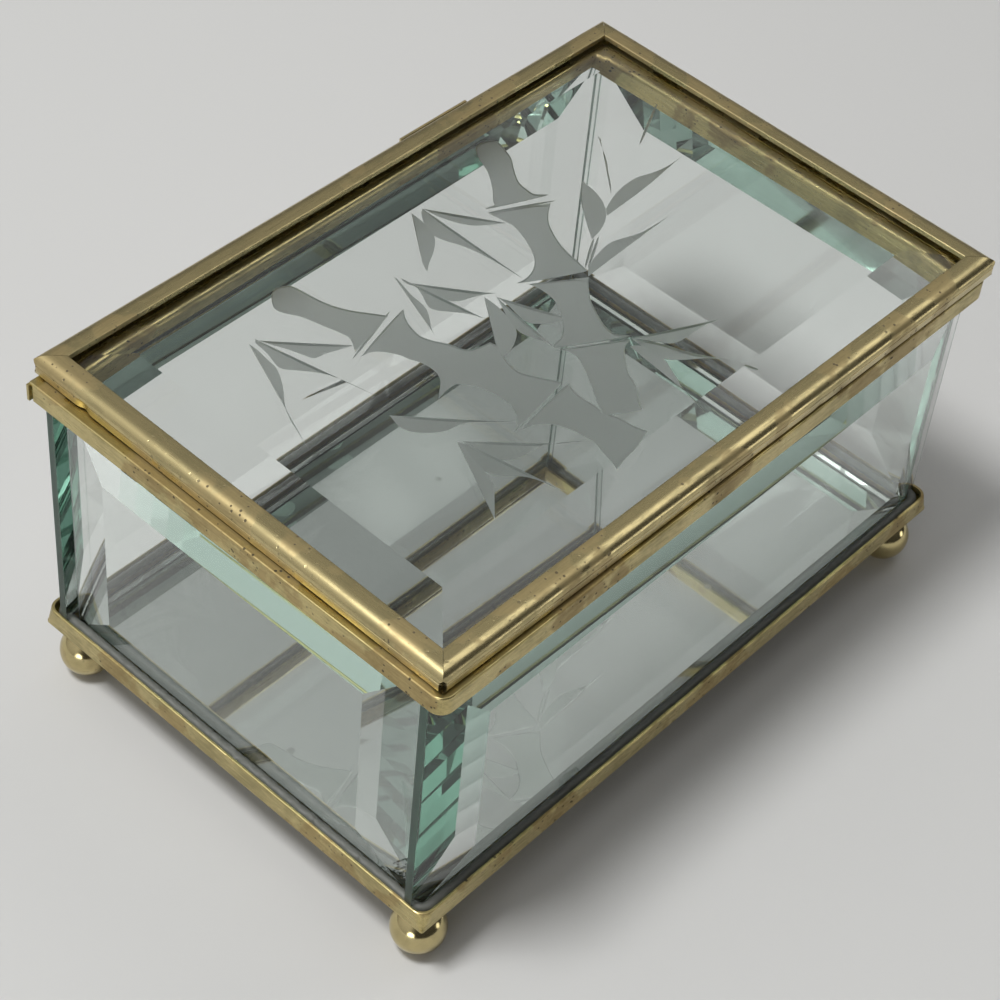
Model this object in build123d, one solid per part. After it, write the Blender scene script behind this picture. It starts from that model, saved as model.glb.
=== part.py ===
"""Glass casket box: bevelled panes in brass channels on four ball feet, with a hinged lid.

Millimetres. +X runs along the long side, the hinge is on the +Y side and +Z is up.
Every piece is built round the middle of the case, and moved at the end so that the origin lies
on the floor below the middle of the whole box, its hinge and its overhanging lid included.
"""
from build123d import *
import math
import os

# Case outline, and the heights of the pieces, counted from a datum just above the floor
case_length = 152.0
case_depth = 101.5
corner_radius = 2.8
sharp_radius = 0.5
ball_radius = 5.4
foot_inset = 5.3
datum_height = 1.6
neck_radius = 2.5
base_bottom = 11.75
base_top = 16.3
top_rim_bottom = 72.4
top_rim_top = 76.5
lid_bottom = 76.85
lid_top = 80.95

# Brass strip
strip_wall = 0.6
base_ledge = 9.0
top_flange = 5.95
top_flange_wall = 0.6
top_inner_leg = 4.1
top_inner_bend = 1.1
seam = 0.02
open_seam = 0.5
seam_tab_wall = 0.6
seam_tab_reach = 0.45

# Side panes: flat inside, bevelled on the outer face, within the channels of the rims
pane_thickness = 4.6
pane_edge = 1.6
bevel_width = 12.7
pane_bottom = 12.45
pane_top = 75.4
front_pane_length = 150.6
pane_depth_outside = 100.1
side_pane_width = 90.7

# Mirror floor
mirror_length = 141.2
mirror_depth = 90.6
mirror_thickness = 2.0

# Lid: rounded channel round a pane bevelled on its upper face. It sits a little askew.
lid_shift_x = 1.5
lid_shift_y = 0.5
lid_turn = -0.5
rail_width = 4.65
rail_wall = 1.0
rail_round = 2.0
rail_lip = 0.3
rail_lip_reach = 4.4
groove_height = 2.1
groove_width = 0.26
groove_depth = 0.38
lower_edge_round = 0.4
lid_mitre_gap = 0.12
lid_corner_radius = 1.0
lid_glass_length = 146.8
lid_glass_depth = 96.4
lid_glass_bottom = 77.2
lid_glass_thickness = 3.0
lid_glass_edge = 1.4
lid_bevel_width = 10.4
lid_glass_off_x = 1.45
lid_glass_off_y = 1.35

# Hinges
hinge_x = 27.9
hinge_width = 18.5
hinge_axis_y = 52.25
hinge_axis_z = 75.7
knuckle_radius = 1.1
pin_radius = 0.5
pin_clearance = 0.05
lid_knuckle = 8.4
knuckle_gap = 0.2
leaf_wall = 0.5
leaf_offset = 0.02
lid_leaf_top = {-1: 78.9, 1: 79.75}

# The four sides of the box: turn about +Z that brings the front side there, and whether it is long
sides = {"front": (0, True), "right": (90, False), "back": (180, True), "left": (270, False)}


def section(points):
    """Closed face on the YZ plane from (inward distance, height) pairs."""
    return make_face(Polyline(*[(0, inward, height) for inward, height in points], close=True))


def round_edges(shape, near, radius):
    """Fillet the edges of a strip that run along X through the given (inward, height) points."""
    chosen = []
    for inward, height in near:
        for edge in shape.edges().filter_by(Axis.X):
            middle = edge.center()
            if abs(middle.Y - inward) < 0.01 and abs(middle.Z - height) < 0.01:
                chosen.append(edge)
    return fillet(chosen, radius)


def outline(inset, height, radii):
    """Case outline, inset all round, at a height. Radii go front left, front right, back right, back left."""
    corners = (
        (-case_length / 2 + inset, -case_depth / 2 + inset),
        (case_length / 2 - inset, -case_depth / 2 + inset),
        (case_length / 2 - inset, case_depth / 2 - inset),
        (-case_length / 2 + inset, case_depth / 2 - inset),
    )
    plan = make_face(Polyline(*corners, close=True))
    for (x, y), radius in zip(corners, radii):
        corner = [v for v in plan.vertices() if abs(v.X - x) < 0.01 and abs(v.Y - y) < 0.01]
        plan = fillet(corner, max(radius - inset, 0.15))
    return Pos(0, 0, height) * plan


def wall_ring(low, high, wall, low_radii, high_radii):
    """Wall round the case whose corner radii may change on the way up."""
    outer = loft([outline(0, low, low_radii), outline(0, high, high_radii)], ruled=True)
    inner = loft([outline(wall, low, low_radii), outline(wall, high, high_radii)], ruled=True)
    return outer - inner


def flat_ring(low, high, inner_inset, radii, outer_inset=0):
    """Flat band inside the outline, mitred square on its inner side."""
    outer = extrude(outline(outer_inset, low, radii), amount=high - low)
    inner = extrude(outline(inner_inset, low, (0, 0, 0, 0)), amount=high - low)
    return outer - inner


def side_wedge(side, start_gap, end_gap, low, high):
    """Prism that holds one side's length of a ring, cut to 45 degrees at both ends."""
    turn, is_long = sides[side]
    half = (case_length if is_long else case_depth) / 2
    front = -(case_depth if is_long else case_length) / 2
    reach = 12.0
    plan = make_face(
        Polyline(
            (-half + start_gap - 1, front - 1),
            (half - end_gap + 1, front - 1),
            (half - end_gap - reach, front + reach),
            (-half + start_gap + reach, front + reach),
            close=True,
        )
    )
    return Rot(0, 0, turn) * Pos(0, 0, low - 1) * extrude(plan, amount=high - low + 2)


def split_ring(ring, low, high, gaps):
    """Four mitred lengths of a ring, keyed by side."""
    return {side: ring & side_wedge(side, *gaps[side], low, high) for side in sides}


def strip_along_x(face):
    """Run a section over more than the whole length, centred on x = 0."""
    span = case_length + 10
    return Pos(-span / 2, 0, 0) * extrude(face, amount=span, dir=(1, 0, 0))


def base_ring():
    """Wall that is sharp at its lower corners and rounded at its upper ones, and the ledge inside it."""
    sharp = (sharp_radius,) * 4
    wall = wall_ring(base_bottom, base_top, strip_wall, sharp, (corner_radius,) * 4)
    ledge = flat_ring(base_bottom, base_bottom + strip_wall, base_ledge, sharp, 0.01)
    ring = wall + ledge
    rim = ring.faces().sort_by(Axis.Z)[-1].outer_wire().edges()
    return fillet(rim, 0.3)


def top_ring():
    """Inverted channel over the panes' top edges, with a rounded inner leg as deep as the outer one."""
    radii = (corner_radius, corner_radius, corner_radius, sharp_radius)
    under = top_rim_top - top_flange_wall
    wall = wall_ring(top_rim_bottom, top_rim_top, strip_wall, radii, radii)
    flange = flat_ring(under, top_rim_top, top_flange, radii)
    leg = flat_ring(top_rim_top - top_inner_leg, top_rim_top, top_flange, (0,) * 4, top_flange - top_flange_wall)
    ring = wall + flange + leg
    face = ring.faces().sort_by(Axis.Z)[-1]
    ring = fillet(face.outer_wire().edges(), 0.35)
    face = ring.faces().filter_by(Axis.Z).sort_by(Axis.Z)[-1]
    return fillet(face.inner_wires()[0].edges(), top_inner_bend)


def open_back_left(lengths):
    """Part the upper rim at the back left: the back length's wall end stands past the left one's."""
    left = -case_length / 2
    back = case_depth / 2
    tab = Box(strip_wall + seam_tab_reach, seam_tab_wall, top_rim_top - top_rim_bottom - 0.4)
    tab_x = left + (strip_wall - seam_tab_reach) / 2
    tab = Pos(tab_x, back - seam_tab_wall / 2, (top_rim_top + top_rim_bottom - 0.4) / 2) * tab
    slot = Box(2, seam_tab_wall + open_seam, top_rim_top - top_rim_bottom)
    slot_z = (top_rim_top + top_rim_bottom) / 2 - 0.55
    slot = Pos(left, back - (seam_tab_wall + open_seam) / 2, slot_z) * slot
    lengths["left"] -= slot
    lengths["back"] = lengths["back"] - slot + tab
    return lengths


def rail_strip():
    """Channel of the lid: rounded outer shoulder, groove, plain lower band and a lip below."""
    groove = lid_top - groove_height
    lip_top = lid_bottom + rail_lip
    face = section([
        (0, lid_bottom),
        (rail_lip_reach, lid_bottom),
        (rail_lip_reach, lip_top),
        (rail_wall, lip_top),
        (rail_wall, lid_top - rail_wall),
        (rail_width, lid_top - rail_wall),
        (rail_width, lid_top),
        (0, lid_top),
        (0, groove + groove_width / 2),
        (groove_depth, groove),
        (0, groove - groove_width / 2),
    ])
    strip = strip_along_x(face)
    strip = round_edges(strip, [(0, lid_top)], rail_round - groove_width / 2)
    strip = round_edges(strip, [(rail_wall, lid_top - rail_wall)], rail_round - rail_wall)
    strip = round_edges(strip, [(rail_width, lid_top)], 0.2)
    return round_edges(strip, [(0, lid_bottom)], lower_edge_round)


def lid_rail(side):
    """One mitred length of the lid's channel in the lid's own place."""
    turn, is_long = sides[side]
    front = -(case_depth if is_long else case_length) / 2
    rail = Rot(0, 0, turn) * Pos(0, front, 0) * rail_strip()
    gap = lid_mitre_gap / 2
    rail = rail & side_wedge(side, gap, gap, lid_bottom, lid_top)
    return rail & extrude(outline(0, lid_bottom - 0.5, (lid_corner_radius,) * 4), amount=6)


def bevelled_pane(length, width, thickness, edge, bevel):
    """Pane lying on z = 0 with its bevels on the upper face."""
    plate = Pos(0, 0, edge / 2) * Box(length, width, edge)
    low_face = Pos(0, 0, edge) * Rectangle(length, width)
    high_face = Pos(0, 0, thickness) * Rectangle(length - 2 * bevel, width - 2 * bevel)
    return plate + loft([low_face, high_face])


def side_pane(side):
    """Upright pane with its bevels facing out of the case."""
    turn, is_long = sides[side]
    height = pane_top - pane_bottom
    width = front_pane_length if is_long else side_pane_width
    outside = pane_depth_outside if is_long else front_pane_length
    lying = bevelled_pane(width, height, pane_thickness, pane_edge, bevel_width)
    standing = Rot(90, 0, 0) * lying
    return Rot(0, 0, turn) * Pos(0, -outside / 2 + pane_thickness, (pane_top + pane_bottom) / 2) * standing


def ball_foot(x_side, y_side):
    """Ball with the short neck that joins it to the base."""
    ball = Pos(0, 0, ball_radius - datum_height) * Sphere(ball_radius)
    neck_bottom = ball_radius - datum_height + 2
    neck_height = base_bottom - neck_bottom
    neck = Pos(0, 0, neck_bottom + neck_height / 2) * Cylinder(neck_radius, neck_height)
    x = x_side * (case_length / 2 - foot_inset)
    y = y_side * (case_depth / 2 - foot_inset)
    return Pos(x, y, 0) * (ball + neck)


def tube_along_x(length, radius, bore):
    """Tube on the hinge axis, centred on x = 0."""
    tube = Cylinder(radius, length) - Cylinder(bore, length + 1)
    return Pos(0, hinge_axis_y, hinge_axis_z) * Rot(0, 90, 0) * tube


def block(x_size, y_low, y_high, z_low, z_high):
    """Box centred on x = 0 between the given limits."""
    centre = Pos(0, (y_low + y_high) / 2, (z_low + z_high) / 2)
    return centre * Box(x_size, y_high - y_low, z_high - z_low)


def without_bore(shape):
    """Open the pin's bore through a leaf."""
    bore = Cylinder(pin_radius + pin_clearance, hinge_width + 4)
    return shape - Pos(0, hinge_axis_y, hinge_axis_z) * Rot(0, 90, 0) * bore


def body_leaf():
    """Leaf on the back of the upper rim with the two outer knuckles."""
    back = case_depth / 2 + leaf_offset
    outer_knuckle = (hinge_width - lid_knuckle) / 2 - knuckle_gap
    offset = (hinge_width - outer_knuckle) / 2
    leaf = block(hinge_width, back, back + leaf_wall, top_rim_bottom + 0.3, 74.6)
    for step in (-offset, offset):
        knuckle = tube_along_x(outer_knuckle, knuckle_radius, pin_radius + pin_clearance)
        web = block(outer_knuckle, back, hinge_axis_y, 74.1, 75.3)
        leaf += Pos(step, 0, 0) * (knuckle + web)
    return without_bore(leaf)


def lid_leaf(side):
    """Leaf on the back of the lid's rail, as askew as the lid, with the middle knuckle."""
    back = case_depth / 2 + leaf_offset
    lean = math.sin(math.radians(lid_turn))
    along = side * hinge_x - lid_shift_x + back * lean
    plate = block(hinge_width, back, back + leaf_wall, 77.5, lid_leaf_top[side])
    neck = block(lid_knuckle, back, back + leaf_wall, 76.1, 77.7)
    turned = lid_place() * Pos(along, 0, 0) * (plate + neck)
    plate_middle = back + leaf_wall / 2 + lid_shift_y + side * hinge_x * lean
    web = block(lid_knuckle, plate_middle, hinge_axis_y, 76.1, 76.75)
    knuckle = tube_along_x(lid_knuckle, knuckle_radius, pin_radius + pin_clearance)
    middle = Pos(side * hinge_x, 0, 0) * (web + knuckle)
    bore = Pos(side * hinge_x, hinge_axis_y, hinge_axis_z) * Rot(0, 90, 0)
    return turned + middle - bore * Cylinder(pin_radius + pin_clearance, hinge_width + 4)


def hinge_pin():
    """Straight pin with broken edges."""
    pin = chamfer(Cylinder(pin_radius, hinge_width + 0.4).edges(), 0.12)
    return Pos(0, hinge_axis_y, hinge_axis_z) * Rot(0, 90, 0) * pin


def lid_place():
    """Where the lid's own middle lies on the case."""
    return Pos(lid_shift_x, lid_shift_y, 0) * Rot(0, 0, lid_turn)


def build_nodes():
    """All pieces of the box, keyed by node name."""
    nodes = {}
    closed = {side: (seam / 2, seam / 2) for side in sides}
    for side, piece in split_ring(base_ring(), base_bottom, base_top, closed).items():
        nodes[f"base_rim_{side}"] = piece
    for side, piece in open_back_left(split_ring(top_ring(), top_rim_bottom, top_rim_top, closed)).items():
        nodes[f"top_rim_{side}"] = piece
    for side in sides:
        nodes[f"pane_{side}"] = side_pane(side)
    mirror_z = base_bottom + strip_wall + 0.05 + mirror_thickness / 2
    nodes["mirror_floor"] = Pos(0, 0, mirror_z) * Box(mirror_length, mirror_depth, mirror_thickness)
    for name, x_side, y_side in (
        ("front_left", -1, -1),
        ("front_right", 1, -1),
        ("back_left", -1, 1),
        ("back_right", 1, 1),
    ):
        nodes[f"foot_{name}"] = ball_foot(x_side, y_side)
    for name, side in (("left", -1), ("right", 1)):
        nodes[f"hinge_body_leaf_{name}"] = Pos(side * hinge_x, 0, 0) * body_leaf()
        nodes[f"hinge_pin_{name}"] = Pos(side * hinge_x, 0, 0) * hinge_pin()
        nodes[f"hinge_lid_leaf_{name}"] = lid_leaf(side)
    for side in sides:
        nodes[f"lid_rail_{side}"] = lid_place() * lid_rail(side)
    pane = bevelled_pane(lid_glass_length, lid_glass_depth, lid_glass_thickness, lid_glass_edge, lid_bevel_width)
    nodes["lid_pane"] = lid_place() * Pos(lid_glass_off_x, lid_glass_off_y, lid_glass_bottom) * pane
    return nodes


def frame_shift():
    """Move from the middle of the case at the datum to the floor below the middle of the whole box's footprint."""
    turn = math.radians(-lid_turn)
    half_length = case_length / 2 - lid_corner_radius
    half_depth = case_depth / 2 - lid_corner_radius
    reach_right = half_length * math.cos(turn) + half_depth * math.sin(turn) + lid_corner_radius
    reach_front = half_depth * math.cos(turn) + half_length * math.sin(turn) + lid_corner_radius
    left = -case_length / 2 - seam_tab_reach
    right = lid_shift_x + reach_right
    front = lid_shift_y - reach_front
    back = hinge_axis_y + knuckle_radius
    return Pos(-(left + right) / 2, -(front + back) / 2, datum_height)


os.makedirs("parts", exist_ok=True)
shift = frame_shift()
print("shift", shift.position.X, shift.position.Y, shift.position.Z)
for node, shape in build_nodes().items():
    export_step(shift * shape, f"parts/{node}.step")
    box = (shift * shape).bounding_box()
    print(node, len(shape.solids()), round(shape.volume, 1), box.min, box.max)
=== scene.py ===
"""Looks of the glass casket box: drawn brass, bevelled glass, a mirror floor and a lid with a cut bamboo ornament.

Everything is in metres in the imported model's frame. Sizes in the classes are in millimetres, as a maker would
write them, and are turned into metres where a mesh is made.
"""
import logging
import math
from collections.abc import Callable, Iterable, Sequence
from dataclasses import dataclass, field
from enum import Enum

import bmesh
import bpy
from mathutils import Matrix, Vector
from mathutils.geometry import delaunay_2d_cdt


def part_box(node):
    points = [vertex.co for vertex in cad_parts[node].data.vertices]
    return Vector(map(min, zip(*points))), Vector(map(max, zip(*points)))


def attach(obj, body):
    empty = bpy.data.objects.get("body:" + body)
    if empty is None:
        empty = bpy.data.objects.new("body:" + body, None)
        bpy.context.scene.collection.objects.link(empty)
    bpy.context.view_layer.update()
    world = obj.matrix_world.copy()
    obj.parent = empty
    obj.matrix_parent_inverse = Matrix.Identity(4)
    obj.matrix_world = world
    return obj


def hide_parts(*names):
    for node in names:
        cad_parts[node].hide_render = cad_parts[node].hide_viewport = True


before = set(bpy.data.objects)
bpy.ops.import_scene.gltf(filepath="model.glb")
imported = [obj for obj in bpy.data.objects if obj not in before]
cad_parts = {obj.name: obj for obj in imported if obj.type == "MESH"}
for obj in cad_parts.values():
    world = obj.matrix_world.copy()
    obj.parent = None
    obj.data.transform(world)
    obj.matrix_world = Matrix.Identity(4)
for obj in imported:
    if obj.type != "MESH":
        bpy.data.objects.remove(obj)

MM = 0.001
log = logging.getLogger("casket")
Point = tuple[float, float]
Colour = tuple[float, float, float, float]


# ---------------------------------------------------------------------------------------------------------------
# Node trees
# ---------------------------------------------------------------------------------------------------------------
@dataclass(frozen=True)
class Signal:
    """A node's output that takes part in sums."""

    tree: "NodeTree"
    socket: bpy.types.NodeSocket

    def __add__(self, other: "Signal | float") -> "Signal":
        """Sum of two signals."""
        return self.tree.math("ADD", self, other)

    __radd__ = __add__

    def __sub__(self, other: "Signal | float") -> "Signal":
        """This signal less another."""
        return self.tree.math("SUBTRACT", self, other)

    def __rsub__(self, other: "Signal | float") -> "Signal":
        """A number less this signal."""
        return self.tree.math("SUBTRACT", other, self)

    def __mul__(self, other: "Signal | float") -> "Signal":
        """Product of two signals."""
        return self.tree.math("MULTIPLY", self, other)

    __rmul__ = __mul__

    def __truediv__(self, other: "Signal | float") -> "Signal":
        """This signal over another."""
        return self.tree.math("DIVIDE", self, other)

    def between(self, low: float, high: float) -> "Signal":
        """Smooth step that is 0 at low and 1 at high; low may be above high.

        Args:
            low: where the step is 0.
            high: where the step is 1.

        Returns:
            The step as a signal.
        """
        turned = low > high
        made = self.tree.add(
            "ShaderNodeMapRange",
            {"interpolation_type": "SMOOTHSTEP"},
            {"Value": self, "From Min": min(low, high), "From Max": max(low, high)},
        )
        step = Signal(self.tree, made.outputs["Result"])
        return 1.0 - step if turned else step


class NodeTree:
    """Builds nodes in a tree, from plain Python calls."""

    def __init__(self, tree: bpy.types.NodeTree) -> None:
        """Start with an empty tree."""
        self.tree = tree
        self.tree.nodes.clear()

    def add(self, kind: str, settings: dict | None = None, sockets: dict | None = None) -> bpy.types.Node:
        """Make a node.

        Args:
            kind: the node's type name.
            settings: properties, set before any socket; "stops" holds a ramp's (position, colour) pairs.
            sockets: value or link for each input, by name or index.

        Returns:
            The node.
        """
        made = self.tree.nodes.new(kind)
        for name, value in (settings or {}).items():
            if name == "stops":
                ramp = made.color_ramp.elements
                while len(ramp) < len(value):
                    ramp.new(1.0)
                for stop, (position, colour) in zip(ramp, value):
                    stop.position, stop.color = position, colour
            else:
                setattr(made, name, value)
        for key, value in (sockets or {}).items():
            self.feed(made.inputs[key], value)
        return made

    def feed(self, socket: bpy.types.NodeSocket, value: "Signal | bpy.types.NodeSocket | object") -> None:
        """Link a signal or an output to a socket, or set its value."""
        source = value.socket if isinstance(value, Signal) else value
        if isinstance(source, bpy.types.NodeSocket):
            self.tree.links.new(source, socket)
        else:
            socket.default_value = source

    def signal(self, kind: str, output: str | int, settings: dict | None = None, sockets: dict | None = None) -> Signal:
        """Make a node and return one of its outputs as a signal."""
        return Signal(self, self.add(kind, settings, sockets).outputs[output])

    def math(self, operation: str, *terms: "Signal | float") -> Signal:
        """Math node on one to three terms."""
        return self.signal("ShaderNodeMath", 0, {"operation": operation}, dict(enumerate(terms)))

    def clamp(self, value: Signal) -> Signal:
        """A signal held between 0 and 1."""
        return self.signal("ShaderNodeClamp", 0, None, {"Value": value})


class Shading(NodeTree):
    """Node tree of a material or of the world."""

    def __init__(self, owner: bpy.types.Material | bpy.types.World) -> None:
        """Turn on the owner's nodes and empty them."""
        owner.use_nodes = True
        super().__init__(owner.node_tree)

    def mix(self, share: Signal | float, first: object, second: object, blend: str = "MIX") -> Signal:
        """Mix two colours.

        Args:
            share: how much of the second.
            first: colour or signal.
            second: colour or signal.
            blend: the way of mixing.

        Returns:
            The mixed colour.
        """
        settings = {"data_type": "RGBA", "blend_type": blend}
        return self.signal("ShaderNodeMix", 2, settings, {0: share, 6: first, 7: second})

    def place(self, scale: Sequence[float] = (1.0, 1.0, 1.0)) -> Signal:
        """Object coordinates, stretched."""
        place = self.add("ShaderNodeTexCoord").outputs["Object"]
        return self.signal("ShaderNodeMapping", 0, None, {"Vector": place, "Scale": scale})

    def noise(self, place: Signal, scale: float, detail: float = 3.0, rough: float = 0.55) -> Signal:
        """Noise from 0 to 1 at a number of waves in each metre."""
        sockets = {"Vector": place, "Scale": scale, "Detail": detail, "Roughness": rough}
        return self.signal("ShaderNodeTexNoise", 0, None, sockets)

    def cells(self, place: Signal, scale: float, output: str = "Distance") -> Signal:
        """Distance from the middle of the nearest of many scattered cells, or that cell's colour."""
        return self.signal("ShaderNodeTexVoronoi", output, None, {"Vector": place, "Scale": scale})

    def bump(self, height: Signal, depth: float) -> Signal:
        """Normal for a relief of the given depth in metres."""
        return self.signal("ShaderNodeBump", 0, None, {"Height": height, "Distance": depth, "Strength": 1.0})

    def surface(self, sockets: dict) -> bpy.types.Node:
        """Principled surface led to the output; returns the output node."""
        shader = self.add("ShaderNodeBsdfPrincipled", None, sockets)
        return self.add("ShaderNodeOutputMaterial", None, {"Surface": shader.outputs[0]})


class Recipe(NodeTree):
    """Geometry Nodes tree with named inputs, run once on an object and turned into a plain mesh."""

    def __init__(self, name: str, inputs: dict[str, float | int]) -> None:
        """Make the tree.

        Args:
            name: the tree's name.
            inputs: default of each named number.
        """
        group = bpy.data.node_groups.new(name, "GeometryNodeTree")
        super().__init__(group)
        group.interface.new_socket("Geometry", in_out="INPUT", socket_type="NodeSocketGeometry")
        group.interface.new_socket("Geometry", in_out="OUTPUT", socket_type="NodeSocketGeometry")
        self.sockets = {}
        for label, value in inputs.items():
            kind = "NodeSocketInt" if isinstance(value, int) else "NodeSocketFloat"
            made = group.interface.new_socket(label, in_out="INPUT", socket_type=kind)
            made.default_value = value
            self.sockets[label] = made.identifier
        self.source = self.add("NodeGroupInput")

    def given(self, label: str) -> Signal:
        """A named input."""
        return Signal(self, self.source.outputs[label])

    def geometry(self, kind: str, settings: dict | None = None, sockets: dict | None = None) -> bpy.types.NodeSocket:
        """Make a node and return its first output."""
        return self.add(kind, settings, sockets).outputs[0]

    def vector(self, x: Signal | float, y: Signal | float, z: Signal | float) -> bpy.types.NodeSocket:
        """Vector from three numbers."""
        return self.geometry("ShaderNodeCombineXYZ", None, {0: x, 1: y, 2: z})

    def end(self, geometry: bpy.types.NodeSocket, finish: bpy.types.Material) -> None:
        """Close the tree with Realize Instances and Set Material."""
        real = self.geometry("GeometryNodeRealizeInstances", None, {0: geometry})
        dressed = self.geometry("GeometryNodeSetMaterial", None, {"Geometry": real, "Material": finish})
        self.add("NodeGroupOutput", None, {0: dressed})

    def run(self, name: str, start: bpy.types.Mesh, values: dict[str, float | int]) -> bpy.types.Object:
        """Run the tree on a mesh.

        Args:
            name: name of the new piece.
            start: mesh that goes into the tree.
            values: number for each named input that isn't left at its default.

        Returns:
            A piece with a plain mesh and no modifier.
        """
        piece = bpy.data.objects.new(name, start)
        bpy.context.scene.collection.objects.link(piece)
        modifier = piece.modifiers.new("recipe", "NODES")
        modifier.node_group = self.tree
        for label, value in values.items():
            modifier[self.sockets[label]] = value
        bpy.context.view_layer.update()
        ready = piece.evaluated_get(bpy.context.evaluated_depsgraph_get())
        mesh = bpy.data.meshes.new_from_object(ready)
        mesh.name = name
        piece.modifiers.clear()
        piece.data = mesh
        bpy.data.meshes.remove(start)
        return piece


# ---------------------------------------------------------------------------------------------------------------
# Finishes
# ---------------------------------------------------------------------------------------------------------------
class Grain(Enum):
    """The way the strip was drawn, which the streaks and the tarnish follow."""

    ALONG_X = (1.0, 9.0, 9.0)
    ALONG_Y = (9.0, 1.0, 9.0)
    ROUND = (1.0, 1.0, 1.0)


@dataclass(frozen=True)
class BrassFinish:
    """Aged brass: drawn streaks, brown tarnish in clouds, and small dark pits in patches."""

    name: str
    grain: Grain
    metal: Colour = (0.58, 0.485, 0.25, 1.0)
    dull: Colour = (0.33, 0.285, 0.15, 1.0)
    rust: Colour = (0.25, 0.16, 0.06, 1.0)
    soot: Colour = (0.035, 0.028, 0.018, 1.0)
    tarnish: float = 0.5
    pits: float = 0.5
    rough: float = 0.24

    def build(self) -> bpy.types.Material:
        """Make the material."""
        material = bpy.data.materials.new(self.name)
        kit = Shading(material)
        plain = kit.place()
        drawn = kit.place(self.grain.value)
        cloud = kit.noise(plain, 95.0, 5.0, 0.6)
        streak = kit.noise(drawn, 210.0, 4.0, 0.65)
        fine = kit.noise(drawn, 1500.0, 2.0)
        speckle = kit.noise(plain, 900.0, 3.0, 0.7)
        aged = ((cloud * 0.6 + streak * 0.4) + speckle * 0.18).between(0.5, 0.74) * self.tarnish
        patch = kit.noise(plain, 60.0, 2.0).between(0.44, 0.58)
        spot = kit.cells(plain, 680.0)
        size = kit.noise(plain, 300.0, 1.0)
        pit = (spot - size * 0.3).between(0.03, -0.03) * patch * self.pits
        burn = (kit.noise(plain, 230.0, 4.0, 0.7) * patch).between(0.3, 0.5) * self.tarnish
        colour = kit.mix(aged, self.metal, self.dull)
        colour = kit.mix(streak.between(0.42, 0.7) * 0.25, colour, self.dull)
        colour = kit.mix(burn * 0.55, colour, self.rust)
        colour = kit.mix(pit * 0.9, colour, self.soot)
        relief = streak * 0.35 + fine * 0.12 + speckle * 0.1 - pit * 1.6
        kit.surface(
            {
                "Base Color": colour,
                "Metallic": 1.0 - pit * 0.6 - burn * 0.25,
                "Roughness": kit.clamp(self.rough + aged * 0.16 + (streak - 0.5) * 0.12 + pit * 0.4 + burn * 0.2),
                "Normal": kit.bump(relief, 0.00003),
            }
        )
        return material


@dataclass(frozen=True)
class GlassFinish:
    """Clear float glass, green in the thick, with faint smears, and matt where the wheel has cut it."""

    name: str
    tint: Colour = (0.50, 0.80, 0.69, 1.0)
    density: float = 13.0
    index: float = 1.52
    frost: float = 0.0
    smear: float = 0.012
    ground: Callable[[Shading], Signal] | None = None

    def build(self) -> bpy.types.Material:
        """Make the material."""
        material = bpy.data.materials.new(self.name)
        kit = Shading(material)
        plain = kit.place()
        wiped = kit.noise(kit.place((1.0, 2.4, 1.0)), 55.0, 4.0, 0.6).between(0.52, 0.78)
        dust = kit.cells(plain, 330.0).between(0.07, 0.02) * kit.noise(plain, 120.0, 1.0).between(0.6, 0.7)
        rough = wiped * self.smear + dust * 0.25
        clear: Colour = (0.985, 0.992, 0.988, 1.0)
        sockets = {"Transmission Weight": 1.0, "IOR": self.index}
        if self.frost:
            cut = kit.signal("ShaderNodeAttribute", "Fac", {"attribute_name": "frost"})
            grit = kit.noise(plain, 2600.0, 2.0)
            rough = rough * (1.0 - cut) + cut * (self.frost + (grit - 0.5) * 0.2)
            colour = kit.mix(cut, clear, (0.47, 0.50, 0.48, 1.0))
            colour = kit.mix(dust * 0.5, colour, (0.75, 0.76, 0.74, 1.0))
            sockets["Normal"] = kit.bump(grit * cut, 0.00001)
        else:
            colour = kit.mix(dust * 0.5, clear, (0.75, 0.76, 0.74, 1.0))
        if self.ground:
            end = self.ground(kit)
            rough = rough * (1.0 - end) + end * 0.55
            colour = kit.mix(end, colour, (0.42, 0.54, 0.47, 1.0))
        out = kit.surface(sockets | {"Base Color": colour, "Roughness": kit.clamp(rough)})
        thick = kit.add("ShaderNodeVolumeAbsorption", None, {"Color": self.tint, "Density": self.density})
        kit.feed(out.inputs["Volume"], thick.outputs[0])
        return material


@dataclass(frozen=True)
class GroundEnds:
    """Where a pane's sawn and ground edges lie: beyond a distance from the case's middle, and at its top and foot."""

    middle: Vector
    axis: str
    reach: float
    foot: float = 12.5
    head: float = 75.35

    def __call__(self, kit: Shading) -> Signal:
        """One on the ground edges and 0 elsewhere."""
        spot = kit.add("ShaderNodeSeparateXYZ", None, {0: kit.add("ShaderNodeTexCoord").outputs["Object"]})
        along = Signal(kit, spot.outputs[self.axis]) - getattr(self.middle, self.axis.lower())
        end = kit.math("ABSOLUTE", along).between(self.reach * MM, (self.reach + 0.05) * MM)
        height = Signal(kit, spot.outputs["Z"]) - self.middle.z
        foot = height.between((self.foot + 0.02) * MM, self.foot * MM)
        head = height.between(self.head * MM, (self.head + 0.02) * MM)
        return kit.math("MAXIMUM", end, kit.math("MAXIMUM", foot, head))


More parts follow.
